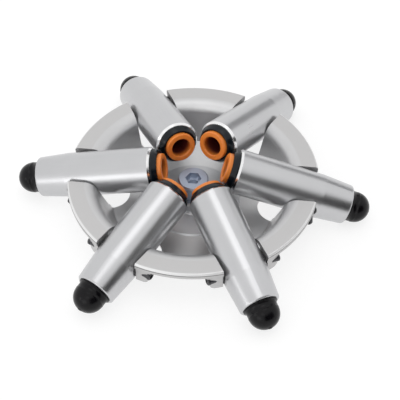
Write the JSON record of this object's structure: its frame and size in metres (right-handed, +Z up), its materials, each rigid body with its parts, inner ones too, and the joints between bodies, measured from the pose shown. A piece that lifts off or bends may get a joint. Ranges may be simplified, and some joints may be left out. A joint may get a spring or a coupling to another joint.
{
  "type": "swing out rotor",
  "caption": "Centrifuge rotor whose slotted bowl carries swinging sleeves with rubber domes and tube adapters, held on a shaft by a central nut.",
  "frame": {"origin": "on the rotor's axis, on the plane of the hub foot, where the domes also rest", "axes": "+Z up along the rotor's axis, +X outwards along sleeve 1, +Y completes a right-handed frame"},
  "size_m": [0.2537, 0.223, 0.0541],
  "materials": {
    "rotor_alloy": "matte",
    "sleeve_alloy": "satin",
    "dome_rubber": "satin",
    "collar_plastic": "satin",
    "adapter_plastic": "satin",
    "screw_steel": "satin",
    "hub_steel": "polished",
    "bush_plastic": "satin"
  },
  "bodies": {
    "rotor": {"rotor_body": "rotor_alloy", "hub_bush": "hub_steel", "nut_washer": "hub_steel", "clamping_nut": "hub_steel", "pivot_screws_1": "screw_steel", "pivot_screws_2": "screw_steel", "pivot_screws_3": "screw_steel", "pivot_screws_4": "screw_steel", "pivot_screws_5": "screw_steel", "pivot_screws_6": "screw_steel"},
    "station_1": {"sleeve_1": "sleeve_alloy", "cushion_1": "dome_rubber", "collar_1": "collar_plastic", "adapter_1": "adapter_plastic", "pivot_bushes_1": "bush_plastic"},
    "station_2": {"sleeve_2": "sleeve_alloy", "cushion_2": "dome_rubber", "collar_2": "collar_plastic", "adapter_2": "adapter_plastic", "pivot_bushes_2": "bush_plastic"},
    "station_3": {"sleeve_3": "sleeve_alloy", "cushion_3": "dome_rubber", "collar_3": "collar_plastic", "adapter_3": "adapter_plastic", "pivot_bushes_3": "bush_plastic"},
    "station_4": {"sleeve_4": "sleeve_alloy", "cushion_4": "dome_rubber", "collar_4": "collar_plastic", "adapter_4": "adapter_plastic", "pivot_bushes_4": "bush_plastic"},
    "station_5": {"sleeve_5": "sleeve_alloy", "cushion_5": "dome_rubber", "collar_5": "collar_plastic", "adapter_5": "adapter_plastic", "pivot_bushes_5": "bush_plastic"},
    "station_6": {"sleeve_6": "sleeve_alloy", "cushion_6": "dome_rubber", "collar_6": "collar_plastic", "adapter_6": "adapter_plastic", "pivot_bushes_6": "bush_plastic"}
  },
  "joints": [
    {"name": "swing_1", "type": "hinge", "parent": "rotor", "child": "station_1", "pos_m": [0.0832, 0, 0.0215], "axis": [0, 1, 0], "range_deg": [-18.1, 71.9]},
    {"name": "swing_2", "type": "hinge", "parent": "rotor", "child": "station_2", "pos_m": [0.0416, 0.07205, 0.0215], "axis": [-0.866, 0.5, 0], "range_deg": [-18.1, 71.9]},
    {"name": "swing_3", "type": "hinge", "parent": "rotor", "child": "station_3", "pos_m": [-0.0416, 0.07205, 0.0215], "axis": [-0.866, -0.5, 0], "range_deg": [-15, 75]},
    {"name": "swing_4", "type": "hinge", "parent": "rotor", "child": "station_4", "pos_m": [-0.0832, 0, 0.0215], "axis": [0, -1, 0], "range_deg": [-12.5, 77.5]},
    {"name": "swing_5", "type": "hinge", "parent": "rotor", "child": "station_5", "pos_m": [-0.0416, -0.07205, 0.0215], "axis": [0.866, -0.5, 0], "range_deg": [-13.2, 76.8]},
    {"name": "swing_6", "type": "hinge", "parent": "rotor", "child": "station_6", "pos_m": [0.0416, -0.07205, 0.0215], "axis": [0.866, 0.5, 0], "range_deg": [-15.3, 74.7]}
  ]
}
